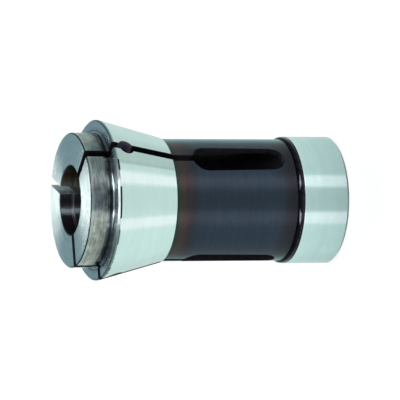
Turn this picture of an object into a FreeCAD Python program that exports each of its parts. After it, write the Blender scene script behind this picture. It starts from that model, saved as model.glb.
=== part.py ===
"""A one-piece spring collet: a slit, hardened steel sleeve that closes on a round bar.

Lengths are in millimetres. The axis is +Z, with the nose up. The collet stands on its
rear end, and the origin is on the axis in that rear face. The first of the three slots
points along -Y.
"""

import FreeCAD, Part
import math
import os
import Sketcher

NODE = "collet_body"

# Driving sizes, each written once. Lengths are in millimetres and angles in degrees.
SIZES = {
    # Outer form, from the nose to the rear end
    "nose_step": 4.8,
    "nose_length": 9.2,
    "nose_edge": 0.4,
    "undercut_depth": 0.45,
    "undercut_angle": 15.0,
    "undercut_floor": 0.4,
    "undercut_radius": 0.85,
    "recess_run": 0.6,
    "recess_depth": 0.25,
    "head_diameter": 60.0,
    "head_edge": 0.5,
    "rim_width": 0.55,
    "taper_angle": 15.0,
    "taper_step": 0.6,
    "body_length": 93.4,
    "guide_diameter": 48.0,
    "guide_length": 18.9,
    "guide_chamfer": 1.0,
    "ground_length": 17.9,
    "ground_allowance": 0.05,
    "relief_depth": 1.0,
    "shoulder_radius": 1.5,
    "shoulder_angle": 45.0,
    # Inside
    "grip_diameter": 26.0,
    "grip_length": 34.0,
    "grip_edge": 0.3,
    "ring_place": 4.5,
    "ring_width": 1.2,
    "ring_depth": 0.7,
    "tube_wall": 2.5,
    "throat_angle": 45.0,
    "mouth_chamfer": 1.0,
    # Slots, spring windows and relief holes, the same at each slot
    "slot_count": 3,
    "slot_width": 3.0,
    "window_width": 11.6,
    "window_rear_width": 10.7,
    "window_length": 36.6,
    "window_gap": 3.2,
    "hole_diameter": 6.2,
    "hole_place": 5.8,
}

# Heights and radii that follow from the driving sizes, as expressions on the sheet.
TOP = "(sizes.body_length + sizes.nose_length)"
GUIDE_R = "(sizes.guide_diameter / 2)"
STOCK_R = f"({GUIDE_R} - sizes.ground_allowance)"
RELIEF_R = f"({GUIDE_R} - sizes.relief_depth)"
TAPER_END_R = f"({RELIEF_R} + sizes.taper_step)"
HEAD_R = "(sizes.head_diameter / 2)"
RIM_HIGH_Z = "(sizes.body_length - sizes.head_edge)"
RIM_Z = f"({RIM_HIGH_Z} - sizes.rim_width)"
TAPER_END_Z = f"({RIM_Z} - ({HEAD_R} - {TAPER_END_R}) / tan(sizes.taper_angle * 1 deg))"
NOSE_R = f"({HEAD_R} - sizes.nose_step)"
UNDERCUT_R = f"({NOSE_R} - sizes.undercut_depth)"
FACE_HOLLOW_R = f"({UNDERCUT_R} + sizes.undercut_radius)"
HOLLOW_Z = "(sizes.body_length - sizes.recess_depth + sizes.undercut_radius)"
FLOOR_Z = f"({HOLLOW_Z} + sizes.undercut_floor)"
RAMP_Z = f"({FLOOR_Z} + sizes.undercut_depth / tan(sizes.undercut_angle * 1 deg))"
ROUND_R = f"({STOCK_R} - sizes.shoulder_radius * (1 - cos(sizes.shoulder_angle * 1 deg)))"
ROUND_Z = "(sizes.guide_length + sizes.shoulder_radius * sin(sizes.shoulder_angle * 1 deg))"
SHOULDER_Z = f"({ROUND_Z} + ({ROUND_R} - {RELIEF_R}) / tan(sizes.shoulder_angle * 1 deg))"
GRIP_R = "(sizes.grip_diameter / 2)"
TUBE_R = f"({RELIEF_R} - sizes.tube_wall)"
GRIP_END_Z = f"({TOP} - sizes.grip_length)"
THROAT_Z = f"({GRIP_END_Z} - ({TUBE_R} - {GRIP_R}) / tan(sizes.throat_angle * 1 deg))"
WINDOW_TIP_Z = f"({SHOULDER_Z} + sizes.window_gap)"
WINDOW_LOW_Z = f"({WINDOW_TIP_Z} + sizes.window_rear_width / 2)"
WINDOW_HIGH_Z = f"({WINDOW_TIP_Z} + sizes.window_length - sizes.window_width / 2)"

START, END, CENTRE = 1, 2, 3
ORIGIN, AXIS_LINE = -1, -2


def make_sheet(doc):
    """The spreadsheet of driving sizes: a name, its number, and the name as alias."""
    sheet = doc.addObject("Spreadsheet::Sheet", "sizes")
    for row, (name, value) in enumerate(SIZES.items(), start=1):
        sheet.set(f"A{row}", name)
        sheet.set(f"B{row}", str(value))
        sheet.setAlias(f"B{row}", name)
    doc.recompute()
    return sheet


def origin_feature(body, role):
    """A plane or an axis of the body's own origin."""
    return next(f for f in body.Origin.OriginFeatures if f.Role == role)


def new_sketch(body, name):
    """A sketch on the body's XZ plane: its x is the radius and its y the height."""
    sketch = body.newObject("Sketcher::SketchObject", name)
    sketch.AttachmentSupport = [(origin_feature(body, "XZ_Plane"), "")]
    sketch.MapMode = "FlatFace"
    return sketch


def place(doc, sketch, geometry, point, across, up):
    """Ties one point of a sketch to a radius and a height, each an expression or None."""
    for kind, rule in (("DistanceX", across), ("DistanceY", up)):
        if rule is None:
            continue
        value = float(doc.sizes.evalExpression(rule))
        constraint = Sketcher.Constraint(kind, ORIGIN, 1, geometry, point, value)
        index = sketch.addConstraint(constraint)
        sketch.setExpression(f"Constraints[{index}]", rule)


def arc_edge(first, last, radius, hollow):
    """An arc between two points, hollow or round, of a solid that lies on its left.

    A hollow arc runs backwards: its own start is at the last point.
    """
    chord = last - first
    reach = (radius ** 2 - (chord.Length / 2) ** 2) ** 0.5
    solid_side = FreeCAD.Vector(-chord.y, chord.x, 0).normalize()
    if hollow:
        reach = -reach
        first, last = last, first
    centre = (first + last) * 0.5 + solid_side * reach
    circle = Part.Circle(centre, FreeCAD.Vector(0, 0, 1), radius)
    return Part.ArcOfCircle(circle, circle.parameter(first), circle.parameter(last))


def turned_profile(doc, sketch, corners, hollows, rounds):
    """A closed outline through (radius, height) corners, walked with the solid on its left.

    An edge is straight, or an arc where its number is in hollows or rounds with a radius.
    """
    points = [
        FreeCAD.Vector(*(float(doc.sizes.evalExpression(rule)) for rule in corner), 0)
        for corner in corners
    ]
    arcs = {**hollows, **rounds}
    count = len(points)
    first_end = [END if i in hollows else START for i in range(count)]
    last_end = [START if i in hollows else END for i in range(count)]
    for i in range(count):
        after = (i + 1) % count
        if i in arcs:
            radius = float(doc.sizes.evalExpression(arcs[i]))
            edge = arc_edge(points[i], points[after], radius, i in hollows)
        else:
            edge = Part.LineSegment(points[i], points[after])
        sketch.addGeometry(edge, False)
    for i in range(count):
        after = (i + 1) % count
        joint = Sketcher.Constraint("Coincident", i, last_end[i], after, first_end[after])
        sketch.addConstraint(joint)
    for i, (across, up) in enumerate(corners):
        place(doc, sketch, i, first_end[i], across, up)
    for i, rule in arcs.items():
        radius = float(doc.sizes.evalExpression(rule))
        index = sketch.addConstraint(Sketcher.Constraint("Radius", i, radius))
        sketch.setExpression(f"Constraints[{index}]", rule)


def turn(doc, body, kind, name, corners, hollows=None, rounds=None):
    """A Revolution or a Groove of an outline about the body's axis."""
    sketch = new_sketch(body, name + "_outline")
    turned_profile(doc, sketch, corners, hollows or {}, rounds or {})
    feature = body.newObject("PartDesign::" + kind, name)
    feature.Profile = sketch
    feature.ReferenceAxis = (sketch, ["V_Axis"])
    feature.Angle = 360
    doc.recompute()
    return feature


def outer_form(doc, body):
    """The solid blank: guide, relief, taper, head and nose, with the relieved nose corner."""
    shoulder = (STOCK_R, "sizes.guide_length")
    recess = (FACE_HOLLOW_R, "sizes.body_length - sizes.recess_depth")
    corners = [
        ("0", "0"),
        (f"{GUIDE_R} - sizes.guide_chamfer", "0"),
        (GUIDE_R, "sizes.guide_chamfer"),
        (GUIDE_R, "sizes.ground_length"),
        (STOCK_R, "sizes.ground_length + sizes.ground_allowance"),
        shoulder,
        (ROUND_R, ROUND_Z),
        (RELIEF_R, SHOULDER_Z),
        (RELIEF_R, f"{TAPER_END_Z} - sizes.taper_step"),
        (TAPER_END_R, TAPER_END_Z),
        (HEAD_R, RIM_Z),
        (HEAD_R, RIM_HIGH_Z),
        (f"{HEAD_R} - sizes.head_edge", "sizes.body_length"),
        (f"{FACE_HOLLOW_R} + sizes.recess_run", "sizes.body_length"),
        recess,
        (UNDERCUT_R, HOLLOW_Z),
        (UNDERCUT_R, FLOOR_Z),
        (NOSE_R, RAMP_Z),
        (NOSE_R, f"{TOP} - sizes.nose_edge"),
        (f"{NOSE_R} - sizes.nose_edge", TOP),
        ("0", TOP),
    ]
    hollows = {corners.index(recess): "sizes.undercut_radius"}
    rounds = {corners.index(shoulder): "sizes.shoulder_radius"}
    return turn(doc, body, "Revolution", "turned_blank", corners, hollows, rounds)


def inside_form(doc, body):
    """The gripping bore, the throat behind it and the wide bore of the tube."""
    corners = [
        ("0", "0"),
        (f"{TUBE_R} + sizes.mouth_chamfer", "0"),
        (TUBE_R, "sizes.mouth_chamfer"),
        (TUBE_R, THROAT_Z),
        (GRIP_R, GRIP_END_Z),
        (GRIP_R, f"{TOP} - sizes.grip_edge"),
        (f"{GRIP_R} + sizes.grip_edge", TOP),
        ("0", TOP),
    ]
    return turn(doc, body, "Groove", "stepped_bore", corners)


def grip_ring(doc, body):
    """The narrow ring groove in the gripping bore."""
    high = f"({TOP} - sizes.ring_place)"
    low = f"({high} - sizes.ring_width)"
    clear = f"({GRIP_R} - sizes.ring_depth)"
    floor = f"({GRIP_R} + sizes.ring_depth)"
    corners = [(clear, low), (floor, low), (floor, high), (clear, high)]
    return turn(doc, body, "Groove", "grip_ring", corners)


def cut_outwards(doc, body, sketch, name):
    """A pocket from the axis plane out through the wall on the -Y side."""
    pocket = body.newObject("PartDesign::Pocket", name)
    pocket.Profile = sketch
    pocket.Type = "ThroughAll"
    pocket.Reversed = True
    doc.recompute()
    return pocket


def slot_cut(doc, body):
    """The saw cut from the nose face into the spring window."""
    sketch = new_sketch(body, "slot_outline")
    half = float(doc.sizes.evalExpression("sizes.slot_width / 2"))
    low = float(doc.sizes.evalExpression(WINDOW_HIGH_Z))
    high = float(doc.sizes.evalExpression(TOP))
    corners = [(half, low), (half, high), (-half, high), (-half, low)]
    points = [FreeCAD.Vector(x, y, 0) for x, y in corners]
    for i in range(4):
        sketch.addGeometry(Part.LineSegment(points[i], points[(i + 1) % 4]), False)
    for i in range(4):
        after = (i + 1) % 4
        sketch.addConstraint(Sketcher.Constraint("Coincident", i, END, after, START))
    rules = [
        Sketcher.Constraint("Vertical", 0),
        Sketcher.Constraint("Vertical", 2),
        Sketcher.Constraint("Horizontal", 3),
        Sketcher.Constraint("Symmetric", 0, END, 2, START, AXIS_LINE),
    ]
    for rule in rules:
        sketch.addConstraint(rule)
    place(doc, sketch, 0, START, "sizes.slot_width / 2", WINDOW_HIGH_Z)
    place(doc, sketch, 0, END, None, TOP)
    return cut_outwards(doc, body, sketch, "slot")


def window_cut(doc, body):
    """The long window with round ends, wider at the head end, which makes the finger springy."""
    sketch = new_sketch(body, "window_outline")
    low_radius = float(doc.sizes.evalExpression("sizes.window_rear_width / 2"))
    high_radius = float(doc.sizes.evalExpression("sizes.window_width / 2"))
    low = float(doc.sizes.evalExpression(WINDOW_LOW_Z))
    high = float(doc.sizes.evalExpression(WINDOW_HIGH_Z))
    normal = FreeCAD.Vector(0, 0, 1)
    half_turn = FreeCAD.Units.Quantity("180 deg").getValueAs("rad").Value
    sine = (high_radius - low_radius) / (high - low)
    cosine = (1 - sine ** 2) ** 0.5
    lean = math.asin(sine)
    low_side = FreeCAD.Vector(low_radius * cosine, low - low_radius * sine, 0)
    high_side = FreeCAD.Vector(high_radius * cosine, high - high_radius * sine, 0)
    low_left = FreeCAD.Vector(-low_side.x, low_side.y, 0)
    high_left = FreeCAD.Vector(-high_side.x, high_side.y, 0)
    high_end = Part.Circle(FreeCAD.Vector(0, high, 0), normal, high_radius)
    low_end = Part.Circle(FreeCAD.Vector(0, low, 0), normal, low_radius)
    sketch.addGeometry(Part.LineSegment(low_side, high_side), False)
    sketch.addGeometry(Part.ArcOfCircle(high_end, -lean, half_turn + lean), False)
    sketch.addGeometry(Part.LineSegment(high_left, low_left), False)
    sketch.addGeometry(Part.ArcOfCircle(low_end, half_turn + lean, 2 * half_turn - lean), False)
    for i in range(4):
        after = (i + 1) % 4
        sketch.addConstraint(Sketcher.Constraint("Tangent", i, END, after, START))
    for arc, height_rule, radius_rule in (
        (1, WINDOW_HIGH_Z, "sizes.window_width / 2"),
        (3, WINDOW_LOW_Z, "sizes.window_rear_width / 2"),
    ):
        sketch.addConstraint(Sketcher.Constraint("PointOnObject", arc, CENTRE, AXIS_LINE))
        place(doc, sketch, arc, CENTRE, None, height_rule)
        value = float(doc.sizes.evalExpression(radius_rule))
        radius = sketch.addConstraint(Sketcher.Constraint("Radius", arc, value))
        sketch.setExpression(f"Constraints[{radius}]", radius_rule)
    return cut_outwards(doc, body, sketch, "window")


def hole_cut(doc, body):
    """The round hole drilled through the head on the line of the slot."""
    sketch = new_sketch(body, "hole_outline")
    height_rule = "sizes.body_length - sizes.hole_place"
    height = float(doc.sizes.evalExpression(height_rule))
    radius = float(doc.sizes.evalExpression("sizes.hole_diameter / 2"))
    normal = FreeCAD.Vector(0, 0, 1)
    circle = Part.Circle(FreeCAD.Vector(0, height, 0), normal, radius)
    sketch.addGeometry(circle, False)
    on_axis = Sketcher.Constraint("PointOnObject", 0, CENTRE, AXIS_LINE)
    sketch.addConstraint(on_axis)
    place(doc, sketch, 0, CENTRE, None, height_rule)
    size = sketch.addConstraint(Sketcher.Constraint("Diameter", 0, 2 * radius))
    sketch.setExpression(f"Constraints[{size}]", "sizes.hole_diameter")
    return cut_outwards(doc, body, sketch, "relief_hole")


def repeat_round(doc, body, cuts):
    """The same cuts at every slot, evenly spaced about the axis."""
    pattern = body.newObject("PartDesign::PolarPattern", "slots_round_axis")
    pattern.Originals = cuts
    pattern.Axis = (origin_feature(body, "Z_Axis"), [""])
    pattern.Angle = 360
    pattern.setExpression("Occurrences", "sizes.slot_count")
    body.Tip = pattern
    doc.recompute()
    return pattern


def collet_body(doc):
    """The whole collet, turned, bored and slit from one piece of steel."""
    body = doc.addObject("PartDesign::Body", NODE)
    body.Label = NODE
    outer_form(doc, body)
    inside_form(doc, body)
    grip_ring(doc, body)
    cuts = [slot_cut(doc, body), window_cut(doc, body), hole_cut(doc, body)]
    repeat_round(doc, body, cuts)
    return body


def check_document(doc):
    """Stops on any object that failed, and on any cut that took nothing away."""
    for item in doc.Objects:
        bad = {"Invalid", "Error"} & set(item.State)
        if bad:
            raise RuntimeError(f"{item.Name} failed: {sorted(bad)}")
    cutters = ("PartDesign::Groove", "PartDesign::Pocket", "PartDesign::PolarPattern")
    for item in doc.Objects:
        if item.TypeId in cutters:
            before = item.BaseFeature.Shape.Volume
            if item.Shape.Volume >= before:
                raise RuntimeError(f"{item.Name} removed no material")


def export(body):
    """Writes the body's solid to a STEP file named after its label."""
    shape = body.Shape
    if shape.isNull() or not shape.isValid() or len(shape.Solids) != 1:
        raise RuntimeError(f"{body.Label} is not one valid solid")
    os.makedirs("parts", exist_ok=True)
    shape.exportStep(f"parts/{body.Label}.step")
    box = shape.BoundBox
    print(
        f"{body.Label}: {shape.Volume:.1f} mm3, "
        f"x {box.XMin:.2f} to {box.XMax:.2f}, y {box.YMin:.2f} to {box.YMax:.2f}, "
        f"z {box.ZMin:.2f} to {box.ZMax:.2f}"
    )


def main():
    doc = FreeCAD.newDocument("collet")
    make_sheet(doc)
    body = collet_body(doc)
    doc.recompute()
    check_document(doc)
    export(body)


main()
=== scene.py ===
"""Looks and studio for a slit steel spring collet that stands on its rear end.

Everything is in metres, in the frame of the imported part: the axis is +Z, with the nose up.
The photograph shows the collet lying on its side, so the camera is rolled by a quarter turn.
"""

import math

import bpy
from mathutils import Matrix, Vector


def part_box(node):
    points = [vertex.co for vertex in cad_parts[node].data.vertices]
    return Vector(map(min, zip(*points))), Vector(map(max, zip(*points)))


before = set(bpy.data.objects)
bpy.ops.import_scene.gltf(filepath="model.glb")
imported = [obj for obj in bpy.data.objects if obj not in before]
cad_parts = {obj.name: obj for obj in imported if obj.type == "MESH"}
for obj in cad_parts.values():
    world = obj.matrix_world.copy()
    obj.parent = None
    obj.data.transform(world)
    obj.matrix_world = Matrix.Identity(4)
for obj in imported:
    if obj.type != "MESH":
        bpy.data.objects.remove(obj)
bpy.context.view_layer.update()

NODE = "collet_body"
MM = 0.001
DEGREES = 180.0 / math.pi
UPRIGHT = (0.0, 0.0, 1.0)

# Lengths of the turned form
NOSE_LENGTH = 9.2 * MM
HOLE_PLACE = 5.8 * MM
HOLE_REACH = 2.8 * MM
HEAD_EDGE = 0.5 * MM
RIM_WIDTH = 0.55 * MM

# Heights where one finish ends and the next begins
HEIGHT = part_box(NODE)[1].z
BORE_EDGE_Z = HEIGHT - 0.5 * MM
HEAD_FACE_Z = HEIGHT - NOSE_LENGTH
HOLE_Z = HEAD_FACE_Z - HOLE_PLACE
RAMP_HIGH_Z = HEAD_FACE_Z + 2.68 * MM
RAMP_LOW_Z = HEAD_FACE_Z + 1.0 * MM
CORNER_LOW_Z = HEAD_FACE_Z - 0.3 * MM
RIM_HIGH_Z = HEAD_FACE_Z - HEAD_EDGE
RIM_LOW_Z = RIM_HIGH_Z - RIM_WIDTH
BORE_LOW_Z = 68.6 * MM
TAPER_END_Z = 68.46 * MM
SHOULDER_Z = 20.47 * MM
GUIDE_TOP_Z = 18.9 * MM
GROUND_TOP_Z = 17.92 * MM
GUIDE_EDGE_Z = 1.0 * MM

# Radii of the recess round the nose's foot and of the ring groove in the bore
RECESS_R = 26.2 * MM
RING_R = 13.7 * MM

# The camera as fitted to the photograph, with the photograph's 400 pixels as its frame
PHOTO_PIXELS = 400
FOCAL_PIXELS = 4000.0
SENSOR_MM = 36.0
CAMERA_DISTANCE = 1506.9 * MM
CAMERA_PITCH = math.radians(19.52)
SLOT_ANGLE = math.radians(43.1)
AIM_BELOW_NOSE = 52 * MM
AIM_SHIFT = (0.678 * MM, -0.014 * MM)
CAMERA_ROLL = math.radians(0.089)

# The pale floor and the soft lamp above it
FLOOR_RADIUS = 1.6
FLOOR_GREY = 0.86
LAMP_PLACE = (0.25, 0.35, 0.9)
LAMP_WIDTH = 0.6
LAMP_WATTS = 2.0

# Arcs round the axis in degrees, nought towards the camera, growing to the picture's top:
# where painted highlights, painted shade and the rim's black dashes lie
RIM_GLEAM = (-9, 9)
RIM_DASH_FRONT = (-12, 10)
RIM_DASH_TOP = (22, 30)
RIM_DASH_LOW = (-32, -22)
CORNER_GLINT = (-11, 11)
CORNER_SHADE = (-20, -7)
RAMP_SHADE_TOP = (8, 22)
RAMP_SHADE_LOW = (-19, -7)
RAMP_PALE_TOP = (28, 34)
RAMP_PALE_LOW = (-40, -24)

# Horizontal directions towards the camera and towards the upper side of its picture
TOWARDS_CAMERA = Vector((-math.sin(SLOT_ANGLE), -math.cos(SLOT_ANGLE), 0))
PICTURE_UP = Vector((math.cos(SLOT_ANGLE), -math.sin(SLOT_ANGLE), 0))


class Nodes:
    """A short way to add and link the nodes of one node tree."""

    def __init__(self, tree):
        self.tree = tree
        tree.nodes.clear()

    def add(self, kind, inputs=None, **settings):
        node = self.tree.nodes.new(kind)
        for name, value in settings.items():
            setattr(node, name, value)
        for name, value in (inputs or {}).items():
            self.set(node.inputs[name], value)
        return node

    def set(self, socket, value):
        if isinstance(value, bpy.types.NodeSocket):
            self.tree.links.new(value, socket)
        else:
            socket.default_value = value

    def math(self, operation, a, b=0.0):
        return self.add("ShaderNodeMath", {0: a, 1: b}, operation=operation).outputs[0]

    def times(self, a, b):
        return self.math("MULTIPLY", a, b)

    def plus(self, a, b):
        return self.math("ADD", a, b)

    def either(self, a, b):
        """The larger of two values."""
        return self.math("MAXIMUM", a, b)

    def shifted(self, value, noise, reach):
        """A value moved up and down by noise, by half of the reach each way."""
        return self.plus(value, self.times(self.plus(noise, -0.5), reach))

    def ramp(self, value, low, high, out_low=0.0, out_high=1.0, smooth=True):
        """The value carried from one range to another, and held at the ends."""
        inputs = {
            "Value": value,
            "From Min": low,
            "From Max": high,
            "To Min": out_low,
            "To Max": out_high,
        }
        kind = "SMOOTHSTEP" if smooth else "LINEAR"
        node = self.add("ShaderNodeMapRange", inputs, interpolation_type=kind)
        return node.outputs["Result"]

    def band(self, value, low, high, soft):
        """One between low and high, falling to nought over a soft edge outside."""
        rise = self.ramp(value, low - soft, low)
        fall = self.ramp(value, high, high + soft, 1.0, 0.0)
        return self.times(rise, fall)

    def blend(self, factor, first, second):
        """Two colours mixed by a factor."""
        inputs = {0: factor, 6: first, 7: second}
        return self.add("ShaderNodeMix", inputs, data_type="RGBA").outputs[2]

    def darkened(self, marks, shade, depth, low=0.3, high=0.7):
        """The shade, darker by a share where the marks are low."""
        dimmer = self.blend(depth, shade, BLACK)
        return self.blend(self.ramp(marks, low, high), dimmer, shade)

    def steps(self, value, stops):
        """Colours that follow one another along a value, from (place, colour) pairs."""
        node = self.add("ShaderNodeValToRGB", {0: value})
        elements = node.color_ramp.elements
        while len(elements) > 1:
            elements.remove(elements[-1])
        elements[0].position = stops[0][0]
        elements[0].color = stops[0][1]
        for place, shade in stops[1:]:
            elements.new(place).color = shade
        return node.outputs[0]

    def noise(self, vector, scale=1.0, detail=3.0):
        inputs = {"Vector": vector, "Scale": scale, "Detail": detail}
        return self.add("ShaderNodeTexNoise", inputs).outputs[0]


def colour(red, green, blue):
    return (red, green, blue, 1.0)


def scaled(shade, factor):
    return colour(*(min(1.0, part * factor) for part in shade[:3]))


BLACK = colour(0, 0, 0)
WHITE = colour(1, 1, 1)
STEEL = colour(0.76, 0.90, 0.88)
COOL_STEEL = colour(0.69, 0.87, 0.87)


def new_material(name):
    material = bpy.data.materials.new(name)
    material.use_nodes = True
    return material, Nodes(material.node_tree)


def dot(n, vector, axis):
    node = n.add("ShaderNodeVectorMath", {0: vector, 1: axis}, operation="DOT_PRODUCT")
    return node.outputs["Value"]


def turn_round_axis(n, vector):
    """Degrees round the axis: nought towards the camera, growing to the picture's top."""
    near = dot(n, vector, TOWARDS_CAMERA)
    off = dot(n, vector, PICTURE_UP)
    return n.times(n.math("ARCTAN2", off, near), DEGREES)


def place_nodes(n):
    """Object position, radius, turn and the direction round the axis, for one material."""
    position = n.add("ShaderNodeTexCoord").outputs["Object"]
    x, y, z = n.add("ShaderNodeSeparateXYZ", {"Vector": position}).outputs
    flat = n.add("ShaderNodeCombineXYZ", {"X": x, "Y": y}).outputs[0]
    radius = n.add("ShaderNodeVectorMath", {0: flat}, operation="LENGTH")
    inputs = {0: UPRIGHT, 1: flat}
    around = n.add("ShaderNodeVectorMath", inputs, operation="CROSS_PRODUCT").outputs[0]
    unit = n.add("ShaderNodeVectorMath", {0: around}, operation="NORMALIZE").outputs[0]
    return {
        "position": position,
        "x": x,
        "y": y,
        "z": z,
        "radius": radius.outputs["Value"],
        "around": unit,
        "turn": turn_round_axis(n, position),
    }


def ring_marks(n, where, pitch, along, face=False, detail=3.0):
    """Noise drawn out round the axis: marks of a tool or wheel at a given pitch.

    On a turned side the marks differ with height, and on an end face with radius.
    """
    main = where["radius"] if face else where["z"]
    inputs = {
        "X": n.times(where["x"], 1.0 / along),
        "Y": n.times(where["y"], 1.0 / along),
        "Z": n.times(main, 1.0 / pitch),
    }
    vector = n.add("ShaderNodeCombineXYZ", inputs).outputs[0]
    return n.noise(vector, 1.0, detail)


def steel_shader(n, where, base, rough, bump, height, stretch=0.75, metallic=1.0, ior=1.5):
    """A surface whose fine marks run round the axis and draw its highlights out."""
    inputs = {"Height": height, "Strength": bump, "Distance": 0.02 * MM}
    normal = n.add("ShaderNodeBump", inputs).outputs[0]
    inputs = {
        "Base Color": base,
        "Metallic": metallic,
        "IOR": ior,
        "Roughness": rough,
        "Anisotropic": stretch,
        "Anisotropic Rotation": 0.25,
        "Tangent": where["around"],
        "Normal": normal,
    }
    shader = n.add("ShaderNodeBsdfPrincipled", inputs)
    n.add("ShaderNodeOutputMaterial", {"Surface": shader.outputs[0]})


def black_rim_dashes(n, where, low, high, shade):
    """The shade with the rim's black line between two heights, broken into dashes at set
    turns round the axis.
    """
    turn = n.shifted(where["turn"], n.noise(where["position"], 400.0), 8.0)
    line = n.either(n.band(turn, *RIM_DASH_FRONT, 1.5), n.band(turn, *RIM_DASH_TOP, 1.5))
    line = n.either(line, n.times(n.band(turn, *RIM_DASH_LOW, 1.5), 0.7))
    speckle = n.ramp(n.noise(where["position"], 900.0), 0.50, 0.60)
    line = n.either(line, n.times(n.ramp(turn, -34, -60), speckle))
    mask = n.times(line, n.band(where["z"], low, high, 0.05 * MM))
    return n.blend(mask, shade, colour(0.008, 0.009, 0.010))


def ground_steel(name, tint, rough, mottle):
    """Bright ground steel: fine even marks and slow, slight changes of shade."""
    material, n = new_material(name)
    where = place_nodes(n)
    fine = ring_marks(n, where, 0.30 * MM, 7 * MM)
    broad = ring_marks(n, where, 3.5 * MM, 40 * MM, detail=1.0)
    cloud = n.noise(where["position"], 160.0, 3.0)
    marks = n.plus(n.times(fine, 0.4), n.times(n.plus(broad, cloud), 0.3))
    light, dark = scaled(tint, 1 + mottle), scaled(tint, 1 - mottle)
    shade = n.blend(n.ramp(marks, 0.3, 0.7), dark, light)
    roughness = n.ramp(fine, 0.3, 0.7, rough * 0.9, rough * 1.1)
    return material, n, where, fine, shade, roughness


def ground_taper():
    """The ground cone, with the foot of the rim's black line on its widest edge."""
    parts = ground_steel("ground_taper", STEEL, 0.11, 0.045)
    material, n, where, fine, shade, rough = parts
    shade = black_rim_dashes(n, where, RIM_LOW_Z - 0.30 * MM, RIM_LOW_Z + 0.1 * MM, shade)
    steel_shader(n, where, shade, rough, 0.02, fine, stretch=0.85)
    return material


def ground_guide():
    """The ground rear guide: a painted white highlight line at its start, and painted shade
    deepening to the rear.
    """
    parts = ground_steel("ground_guide", COOL_STEEL, 0.18, 0.06)
    material, n, where, fine, shade, rough = parts
    # Painted shade, darker towards the rear end
    depth = n.ramp(where["z"], 0.0, GROUND_TOP_Z - 3 * MM, 0.42, 0.0, smooth=False)
    shade = n.blend(depth, shade, scaled(COOL_STEEL, 0.55))
    # Painted highlight: a white line at the start of the ground band
    edge = n.ramp(where["z"], GROUND_TOP_Z - 0.55 * MM, GROUND_TOP_Z - 0.25 * MM)
    shade = n.blend(n.times(edge, 0.6), shade, WHITE)
    steel_shader(n, where, shade, rough, 0.03, fine, stretch=0.85)
    return material


def turned_nose():
    """The nose's side: turned rather than ground, in streaks, with painted light and shade in
    zones round the axis, darker and bluish towards the camera.
    """
    material, n = new_material("turned_nose")
    where = place_nodes(n)
    fine = ring_marks(n, where, 0.40 * MM, 7 * MM, detail=4.0)
    broad = ring_marks(n, where, 2.0 * MM, 12 * MM)
    patch = n.noise(where["position"], 110.0, 3.0)
    speck = n.noise(where["position"], 700.0, 4.0)
    turn = n.shifted(where["turn"], patch, 30.0)
    light = colour(0.42, 0.49, 0.45)
    middle = colour(0.30, 0.37, 0.37)
    deep = colour(0.22, 0.25, 0.285)
    # Painted light and shade in zones round the axis, from the picture's lower side to its
    # top
    zones = [(-28, -20, light), (-16, -8, deep), (14, 24, middle), (48, 60, light)]
    shade = colour(0.66, 0.69, 0.62)
    for start, end, following in zones:
        shade = n.blend(n.ramp(turn, start, end), shade, following)
    near_ramp = n.ramp(where["z"], RAMP_HIGH_Z + 3.4 * MM, RAMP_HIGH_Z)
    shade = n.blend(n.times(near_ramp, 0.40), shade, colour(0.13, 0.11, 0.10))
    warm = n.times(n.ramp(patch, 0.50, 0.66), n.ramp(speck, 0.45, 0.60))
    shade = n.blend(n.times(warm, 0.45), shade, colour(0.23, 0.18, 0.14))
    streak = n.plus(n.times(fine, 0.45), n.times(broad, 0.35))
    streak = n.plus(streak, n.times(speck, 0.20))
    shade = n.darkened(streak, shade, 0.42, 0.38, 0.60)
    blotch = n.noise(where["position"], 330.0, 4.0)
    shade = n.darkened(blotch, shade, 0.30, 0.40, 0.58)
    near_face = n.ramp(where["z"], HEIGHT - 1.8 * MM, HEIGHT - 0.6 * MM)
    shade = n.blend(n.times(near_face, 0.25), shade, STEEL)
    rough = n.ramp(fine, 0.3, 0.7, 0.24, 0.34)
    steel_shader(n, where, shade, rough, 0.12, fine, stretch=0.7)
    return material


def dark_ramp():
    """The slope into the nose's corner: the land's grey at first, then dark, with painted
    light and painted shade in arcs round the axis.
    """
    material, n = new_material("dark_ramp")
    where = place_nodes(n)
    fine = ring_marks(n, where, 0.35 * MM, 8 * MM)
    patch = n.noise(where["position"], 160.0, 2.0)
    turn = n.shifted(where["turn"], patch, 20.0)
    # Arcs of painted light and painted shade round the axis, which also tint the land's grey
    low = n.band(turn, *RAMP_PALE_LOW, 5)
    paler = n.either(n.band(turn, *RAMP_PALE_TOP, 4), low)
    deeper = n.either(n.band(turn, *RAMP_SHADE_TOP, 5), n.band(turn, *RAMP_SHADE_LOW, 4))
    shade = n.blend(paler, colour(0.075, 0.075, 0.085), colour(0.22, 0.24, 0.25))
    shade = n.blend(deeper, shade, colour(0.035, 0.035, 0.038))
    land = n.blend(deeper, colour(0.30, 0.31, 0.315), colour(0.09, 0.093, 0.095))
    land = n.blend(low, land, colour(0.55, 0.57, 0.52))
    start = n.shifted(where["z"], patch, 0.5 * MM)
    start = n.ramp(start, RAMP_HIGH_Z - 1.15 * MM, RAMP_HIGH_Z - 0.80 * MM)
    shade = n.blend(n.times(start, 0.9), shade, land)
    shade = n.darkened(fine, shade, 0.35)
    steel_shader(n, where, shade, 0.25, 0.05, fine, stretch=0.7)
    return material


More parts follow.
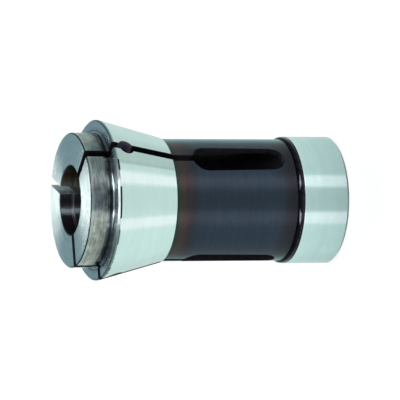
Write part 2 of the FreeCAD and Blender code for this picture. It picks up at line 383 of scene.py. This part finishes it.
def turned_face(name, tint, rough=0.22, bump=0.04, painted_shade_radii=None):
    """An end face with fine concentric marks.

    painted_shade_radii gives two radii and a share for painted shade: the face has that share
    of its colour at the first radius and all of it at the second.
    """
    material, n = new_material(name)
    where = place_nodes(n)
    fine = ring_marks(n, where, 0.35 * MM, 8 * MM, face=True)
    broad = ring_marks(n, where, 3.0 * MM, 30 * MM, face=True, detail=1.0)
    marks = n.plus(n.times(fine, 0.5), n.times(broad, 0.5))
    shade = n.blend(n.ramp(marks, 0.3, 0.7), scaled(tint, 0.90), scaled(tint, 1.06))
    # Painted shade: darker towards the inner radius, by the nose's foot
    if painted_shade_radii:
        near, far, share = painted_shade_radii
        radius = n.shifted(where["radius"], n.noise(where["position"], 350.0), 2.5 * MM)
        shade = n.blend(n.ramp(radius, near, far, 1.0 - share, 0.0), shade, BLACK)
    roughness = n.ramp(fine, 0.3, 0.7, rough * 0.9, rough * 1.1)
    steel_shader(n, where, shade, roughness, bump, fine, stretch=0.85)
    return material


def rim_finish(name, mid, painted_gleam_tint, rough):
    """The head's chamfer or land: a painted highlight at the front, grey round the rest."""
    material, n = new_material(name)
    where = place_nodes(n)
    grain = ring_marks(n, where, 0.3 * MM, 6 * MM)
    patch = n.noise(where["position"], 300.0, 3.0)
    turn = n.shifted(where["turn"], patch, 20.0)
    # Painted highlight: the bright tint in an arc at the front
    shade = n.blend(n.band(turn, *RIM_GLEAM, 8), mid, painted_gleam_tint)
    shade = n.darkened(grain, shade, 0.15)
    shade = black_rim_dashes(n, where, RIM_LOW_Z - 0.1 * MM, RIM_LOW_Z + 0.30 * MM, shade)
    steel_shader(n, where, shade, rough, 0.04, grain, stretch=0.6)
    return material


def nose_corner():
    """The hollow at the foot of the nose: patchy steel, with a painted highlight and glint at
    the front, and painted shade on its floor and in one arc.
    """
    material, n = new_material("nose_corner")
    where = place_nodes(n)
    fine = ring_marks(n, where, 0.3 * MM, 7 * MM, face=True)
    patch = n.noise(where["position"], 260.0, 3.0)
    dark, light = colour(0.06, 0.06, 0.06), colour(0.16, 0.19, 0.20)
    shade = n.blend(n.ramp(patch, 0.36, 0.60), dark, light)
    # Masks for a painted highlight arc at the front with a glint band in it, and for painted
    # shade on the floor and in one arc
    front = n.band(where["turn"], *CORNER_GLINT, 5)
    high = n.band(where["z"], HEAD_FACE_Z + 0.12 * MM, HEAD_FACE_Z + 0.40 * MM, 0.05 * MM)
    floor = n.ramp(where["z"], HEAD_FACE_Z + 0.36 * MM, HEAD_FACE_Z + 0.50 * MM)
    face = n.ramp(where["z"], HEAD_FACE_Z - 0.08 * MM, HEAD_FACE_Z - 0.18 * MM)
    deeper = n.band(where["turn"], *CORNER_SHADE, 4)
    # Painted highlight, then a painted glint, at the front
    shade = n.blend(n.times(front, 0.65), shade, colour(0.45, 0.56, 0.60))
    shade = n.blend(n.times(n.times(front, high), 0.8), shade, colour(0.80, 0.90, 0.95))
    # Painted shade: nearly black on the floor, darker in one arc
    shade = n.blend(n.times(floor, 0.85), shade, colour(0.022, 0.022, 0.024))
    shade = n.blend(n.times(deeper, 0.45), shade, BLACK)
    shade = n.blend(n.times(face, 0.8), shade, colour(0.62, 0.73, 0.76))
    steel_shader(n, where, shade, 0.22, 0.10, fine, stretch=0.5)
    return material


def black_steel():
    """Blued spring steel, with the colours of heat near the head and darker by the guide."""
    material, n = new_material("black_oxide")
    where = place_nodes(n)
    fine = ring_marks(n, where, 0.5 * MM, 14 * MM)
    cloud = n.noise(where["position"], 120.0, 4.0)
    z = n.shifted(where["z"], cloud, 2.5 * MM)
    slate = colour(0.045, 0.061, 0.087)
    place = n.ramp(z, TAPER_END_Z, TAPER_END_Z - 10 * MM, smooth=False)
    near_head = n.steps(place, [
        (0.00, colour(0.045, 0.064, 0.052)),
        (0.16, colour(0.062, 0.064, 0.056)),
        (0.30, colour(0.080, 0.062, 0.055)),
        (0.46, colour(0.071, 0.050, 0.054)),
        (0.62, colour(0.056, 0.048, 0.058)),
        (0.80, colour(0.044, 0.051, 0.067)),
        (1.00, slate),
    ])
    place = n.ramp(z, SHOULDER_Z, SHOULDER_Z + 7 * MM, smooth=False)
    near_guide = n.steps(place, [
        (0.00, colour(0.036, 0.035, 0.045)),
        (0.45, colour(0.041, 0.042, 0.053)),
        (0.80, colour(0.046, 0.054, 0.072)),
        (1.00, slate),
    ])
    lower = n.ramp(z, SHOULDER_Z + 9 * MM, SHOULDER_Z + 8 * MM)
    shade = n.blend(lower, near_head, near_guide)
    shade = n.darkened(fine, shade, 0.12)
    # A painted sheen: the colour turns teal where the oxide is seen at a slant
    slant = n.add("ShaderNodeLayerWeight", {"Blend": 0.5}).outputs["Facing"]
    painted_sheen = n.ramp(slant, 0.60, 1.0, 0.0, 0.8)
    shade = n.blend(painted_sheen, shade, colour(0.015, 0.46, 0.50))
    rough = n.ramp(cloud, 0.3, 0.7, 0.24, 0.31)
    steel_shader(n, where, shade, rough, 0.04, fine, stretch=0.7)
    return material


def dark_metal(name, tint, rough, stretch=0.5):
    """Dark steel with a fine grain: the narrow chamfers and the rear bore."""
    material, n = new_material(name)
    where = place_nodes(n)
    grain = n.noise(where["position"], 600.0, 4.0)
    shade = n.blend(n.ramp(grain, 0.35, 0.65), scaled(tint, 0.7), scaled(tint, 1.25))
    steel_shader(n, where, shade, rough, 0.06, grain, stretch=stretch)
    return material


def bore_steel():
    """The gripping bore: painted light and shade, brown towards the picture's top and violet
    black below, with a painted gleam and a groove painted paler as if lit.
    """
    material, n = new_material("grip_bore")
    where = place_nodes(n)
    fine = ring_marks(n, where, 0.4 * MM, 6 * MM)
    # Painted light and shade by side: brown towards the picture's top, violet black below
    side = dot(n, where["position"], PICTURE_UP)
    side = n.shifted(side, n.noise(where["position"], 200.0), 3 * MM)
    brown = n.steps(n.ramp(side, 6 * MM, 12 * MM, smooth=False), [
        (0.00, colour(0.50, 0.51, 0.40)),
        (0.30, colour(0.42, 0.29, 0.20)),
        (0.62, colour(0.33, 0.17, 0.11)),
        (0.95, colour(0.16, 0.13, 0.10)),
    ])
    shade = n.blend(n.ramp(side, 3 * MM, 6 * MM), colour(0.085, 0.085, 0.105), brown)
    # Painted reflection: a pale gleam along one side
    gleam = n.band(side, -4.9 * MM, -3.3 * MM, 0.5 * MM)
    shade = n.blend(gleam, shade, colour(0.155, 0.20, 0.225))
    # The groove painted paler, for its lit wall
    groove = n.ramp(where["radius"], RING_R - 0.35 * MM, RING_R - 0.15 * MM)
    shade = n.blend(groove, shade, colour(0.30, 0.28, 0.30))
    shade = n.darkened(fine, shade, 0.25)
    steel_shader(n, where, shade, 0.30, 0.05, fine, stretch=0.9)
    return material


def cut_walls():
    """The sawn and milled walls: painted shade, violet black, with painted light in the cross
    holes and on the far slot's wall, fading deeper in and towards the bore.
    """
    material, n = new_material("cut_walls")
    where = place_nodes(n)
    # Painted shade: the walls nearly black, with a faint grain
    grain = n.noise(where["position"], 600.0, 4.0)
    dark, light = colour(0.003, 0.002, 0.004), colour(0.007, 0.005, 0.009)
    shade = n.blend(n.ramp(grain, 0.35, 0.65), dark, light)
    # Painted light on the cross holes' walls
    hole = n.band(where["z"], HOLE_Z - HOLE_REACH, HOLE_Z + HOLE_REACH, 0.4 * MM)
    shade = n.blend(n.times(hole, 0.9), shade, colour(0.070, 0.057, 0.090))
    # Painted light on the far slot's wall near the nose, fading to painted shade deeper in
    # and towards the bore
    far = n.ramp(dot(n, where["position"], TOWARDS_CAMERA), -10 * MM, -12 * MM)
    near_nose = n.ramp(where["z"], HEIGHT - 7.4 * MM, HEIGHT - 5.8 * MM)
    outer = n.ramp(where["radius"], 14.5 * MM, 20.0 * MM)
    deep = n.ramp(where["z"], HEIGHT - 0.5 * MM, HEIGHT - 6.0 * MM, smooth=False)
    inside = colour(0.065, 0.090, 0.105)
    outside = n.blend(deep, colour(0.24, 0.30, 0.33), colour(0.46, 0.54, 0.57))
    pale = n.blend(outer, inside, outside)
    shade = n.blend(n.times(far, near_nose), shade, pale)
    steel_shader(n, where, shade, 0.5, 0.06, grain, stretch=0.0, metallic=0.0, ior=1.25)
    return material


def black_strip():
    """The strip and rounded shoulder before the guide: smooth, with painted shade darker on
    the slope.
    """
    material, n = new_material("black_strip")
    where = place_nodes(n)
    grain = n.noise(where["position"], 600.0, 4.0)
    dark, light = colour(0.022, 0.021, 0.029), colour(0.040, 0.039, 0.052)
    shade = n.blend(n.ramp(grain, 0.35, 0.65), dark, light)
    # Painted shade on the slope
    slope = n.ramp(where["z"], GUIDE_TOP_Z + 0.75 * MM, GUIDE_TOP_Z + 1.1 * MM)
    shade = n.blend(n.times(slope, 0.65), shade, BLACK)
    steel_shader(n, where, shade, 0.10, 0.05, grain, stretch=0.5)
    return material


def surface_of(face):
    """The finish that a face of the collet has, from where it lies on the turned form."""
    centre, normal = face.center, face.normal
    radius = math.hypot(centre.x, centre.y)
    outward = (centre.x * normal.x + centre.y * normal.y) / max(radius, 1e-9)
    slack = 0.12 * MM
    is_turned = math.hypot(outward, normal.z) > 0.97
    faces_inward = outward < -0.5
    lies_flat = abs(outward) < 0.25
    if not is_turned:
        return "cut"
    if faces_inward:
        if centre.z > BORE_EDGE_Z:
            return "nose_edge"
        near_bore = radius < RING_R + slack and centre.z > BORE_LOW_Z
        return "bore" if near_bore else "inside"
    if lies_flat:
        if centre.z > HEIGHT - slack:
            return "nose_face"
        if abs(centre.z - HEAD_FACE_Z) < slack and radius > RECESS_R - slack:
            return "head_face"
        return "corner" if CORNER_LOW_Z < centre.z < RAMP_LOW_Z else "cut"
    if centre.z > RAMP_HIGH_Z:
        return "nose_edge" if normal.z > 0.3 else "nose_side"
    if centre.z > RAMP_LOW_Z:
        return "nose_ramp"
    if centre.z > CORNER_LOW_Z and radius < RECESS_R:
        return "corner"
    zones = [
        (RIM_HIGH_Z, "rim_edge"),
        (RIM_LOW_Z, "rim"),
        (TAPER_END_Z, "taper"),
        (SHOULDER_Z, "tube"),
        (GROUND_TOP_Z, "strip"),
        (GUIDE_EDGE_Z, "guide"),
    ]
    for low, finish in zones:
        if centre.z > low:
            return finish
    return "guide_edge"


def dress_collet():
    """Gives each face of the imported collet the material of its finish."""
    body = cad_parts[NODE]
    finishes = {
        "nose_face": turned_face("nose_face", STEEL, rough=0.20),
        "nose_edge": dark_metal("nose_edge", colour(0.10, 0.12, 0.13), 0.25),
        "nose_side": turned_nose(),
        "nose_ramp": dark_ramp(),
        "corner": nose_corner(),
        # The head face gets painted shade towards its inner radius
        "head_face": turned_face(
            "head_face", colour(0.62, 0.76, 0.80), 0.24, painted_shade_radii=(25.0 * MM, 28.2 * MM, 0.55)
        ),
        # The second colour of each rim finish is its painted highlight
        "rim_edge": rim_finish(
            "rim_edge", colour(0.20, 0.27, 0.28), colour(0.85, 0.93, 0.95), 0.40
        ),
        "rim": rim_finish("rim", colour(0.30, 0.40, 0.40), colour(0.90, 0.96, 0.95), 0.25),
        "taper": ground_taper(),
        "tube": black_steel(),
        "strip": black_strip(),
        "guide": ground_guide(),
        "guide_edge": dark_metal("guide_edge", colour(0.17, 0.21, 0.21), 0.3),
        "bore": bore_steel(),
        "inside": dark_metal("inside", colour(0.020, 0.018, 0.028), 0.4),
        "cut": cut_walls(),
    }
    names = list(finishes)
    body.data.materials.clear()
    for name in names:
        body.data.materials.append(finishes[name])
    for face in body.data.polygons:
        face.material_index = names.index(surface_of(face))


def make_camera():
    """The camera at the photograph's viewing angle, rolled so that the nose points left."""
    down = Vector((0, 0, -1))
    right = math.cos(CAMERA_PITCH) * down + math.sin(CAMERA_PITCH) * TOWARDS_CAMERA
    forward = math.sin(CAMERA_PITCH) * down - math.cos(CAMERA_PITCH) * TOWARDS_CAMERA
    rolled_up = math.cos(CAMERA_ROLL) * PICTURE_UP + math.sin(CAMERA_ROLL) * right
    rolled_right = math.cos(CAMERA_ROLL) * right - math.sin(CAMERA_ROLL) * PICTURE_UP
    target = Vector((0, 0, HEIGHT - AIM_BELOW_NOSE))
    place = target - CAMERA_DISTANCE * forward
    place -= AIM_SHIFT[0] * rolled_right + AIM_SHIFT[1] * rolled_up
    data = bpy.data.cameras.new("photo_camera")
    data.sensor_width = SENSOR_MM
    data.lens = FOCAL_PIXELS * SENSOR_MM / PHOTO_PIXELS
    data.clip_start = 10 * MM
    data.clip_end = 50.0
    camera = bpy.data.objects.new("photo_camera", data)
    bpy.context.scene.collection.objects.link(camera)
    axes = Matrix((rolled_right, rolled_up, -forward)).transposed()
    camera.matrix_world = Matrix.Translation(place) @ axes.to_4x4()
    bpy.context.scene.camera = camera


def make_floor():
    """A plain pale floor, white to the camera and soft with the object's shadow."""
    bpy.ops.mesh.primitive_circle_add(vertices=96, radius=FLOOR_RADIUS, fill_type="NGON")
    floor = bpy.context.object
    floor.name = "floor"
    material, n = new_material("pale_floor")
    grey = colour(FLOOR_GREY, FLOOR_GREY, FLOOR_GREY)
    paint = n.add("ShaderNodeBsdfDiffuse", {"Color": grey})
    glow = n.add("ShaderNodeEmission", {"Color": WHITE, "Strength": 1.0})
    rays = n.add("ShaderNodeLightPath")
    seen = n.either(rays.outputs["Is Camera Ray"], rays.outputs["Is Glossy Ray"])
    seen = n.either(seen, rays.outputs["Is Transmission Ray"])
    inputs = {0: n.times(seen, 0.85), 1: paint.outputs[0], 2: glow.outputs[0]}
    mixed = n.add("ShaderNodeMixShader", inputs)
    n.add("ShaderNodeOutputMaterial", {"Surface": mixed.outputs[0]})
    floor.data.materials.append(material)
    floor.visible_glossy = False


# Colours of the studio tent and of what stands in it above the horizon
TENT_TINT = (0.86, 1.0, 0.97)
HIGH_DIM = colour(0.22, 0.25, 0.26)
REAR_WALL = colour(0.20, 0.285, 0.32)
REAR_BOX = colour(9.4, 8.8, 8.7)
FRONT_BOX = colour(10.0, 10.0, 10.0)

# Where the tent's bright parts stand: turns round the axis and rises, in degrees
SIDE_STRIP_TOP = (27, 42)
SIDE_STRIP_LOW = (-40, -25)
CONE_STRIP_TOP = (35, 46)
CONE_STRIP_LOW = (-49, -37)
FRONT_BOX_TOP = (28, 44)
FRONT_BOX_LOW = (-42, -26)
FRONT_BOX_RISE = (12, 55)
REAR_BOX_TURN = (167, 190)
REAR_BOX_RISE = (38, 80)


def low_side_light(n, turn):
    """What upright sides reflect: the tent's level, two bright strips and their level."""
    strips = n.either(n.band(turn, *SIDE_STRIP_TOP, 7), n.band(turn, *SIDE_STRIP_LOW, 7))
    level = n.ramp(turn, -42, -18, 0.82, 0.64)
    level = n.plus(level, n.ramp(turn, 16, 72, 0.0, 0.11))
    level = n.plus(level, n.ramp(turn, -100, -145, 0.0, -0.08))
    return level, strips, 0.95


def cone_light(n, turn):
    """The same for the taper, which looks more steeply down than an upright side."""
    strips = n.either(n.band(turn, *CONE_STRIP_TOP, 12), n.band(turn, *CONE_STRIP_LOW, 8))
    level = n.ramp(turn, -50, -10, 0.86, 0.78)
    card = n.band(turn, 66.5, 124, 1.0)
    level = n.plus(level, n.times(card, -0.18))
    level = n.plus(level, n.times(n.band(turn, 67, 71, 1.5), -0.07))
    level = n.plus(level, n.ramp(turn, 120, 150, 0.0, 0.05))
    return level, strips, 0.99


def make_world():
    """A soft studio tent: white to the camera, with bright and dim parts for the steel."""
    world = bpy.data.worlds.new("studio")
    world.use_nodes = True
    bpy.context.scene.world = world
    n = Nodes(world.node_tree)
    direction = n.add("ShaderNodeTexCoord").outputs["Generated"]
    near = dot(n, direction, TOWARDS_CAMERA)
    turn = turn_round_axis(n, direction)
    up = dot(n, direction, UPRIGHT)
    rise = n.times(n.math("ARCSINE", up), DEGREES)

    def tinted(level, strips, bright):
        inputs = {0: TENT_TINT, "Scale": level}
        shade = n.add("ShaderNodeVectorMath", inputs, operation="SCALE").outputs[0]
        return n.blend(strips, shade, colour(bright, bright, bright))

    steep = n.ramp(rise, -28, -42)
    low = n.blend(steep, tinted(*low_side_light(n, turn)), tinted(*cone_light(n, turn)))

    # Above the horizon: two soft boxes in front, a narrow one high behind, and a dim rest
    front_boxes = n.either(n.band(turn, *FRONT_BOX_TOP, 4), n.band(turn, *FRONT_BOX_LOW, 4))
    front_boxes = n.times(front_boxes, n.band(rise, *FRONT_BOX_RISE, 8))
    rear_box = n.band(n.math("ABSOLUTE", turn), *REAR_BOX_TURN, 5)
    rear_box = n.times(rear_box, n.band(rise, *REAR_BOX_RISE, 4))
    rear_wall = n.times(n.ramp(near, 0.1, -0.3), n.ramp(rise, 30, 22))
    high = n.blend(rear_wall, HIGH_DIM, REAR_WALL)
    high = n.blend(rear_box, high, REAR_BOX)
    high = n.blend(front_boxes, high, FRONT_BOX)
    light = n.blend(n.ramp(rise, -10, -2), low, high)

    rays = n.add("ShaderNodeLightPath")
    light = n.blend(rays.outputs["Is Camera Ray"], light, WHITE)
    background = n.add("ShaderNodeBackground", {"Color": light, "Strength": 1.0})
    n.add("ShaderNodeOutputWorld", {"Surface": background.outputs[0]})


def make_lamp():
    """One large soft lamp high above, for a shadow under the collet."""
    data = bpy.data.lights.new("soft_top", "AREA")
    data.shape = "DISK"
    data.size = LAMP_WIDTH
    data.energy = LAMP_WATTS
    lamp = bpy.data.objects.new("soft_top", data)
    bpy.context.scene.collection.objects.link(lamp)
    lamp.location = LAMP_PLACE
    lamp.rotation_mode = "QUATERNION"
    lamp.rotation_quaternion = Vector(lamp.location).to_track_quat("Z", "Y")


def set_view():
    """Colours are shown as they are written, with no film look."""
    bpy.context.scene.view_settings.view_transform = "Standard"


dress_collet()
make_camera()
make_floor()
make_world()
make_lamp()
set_view()
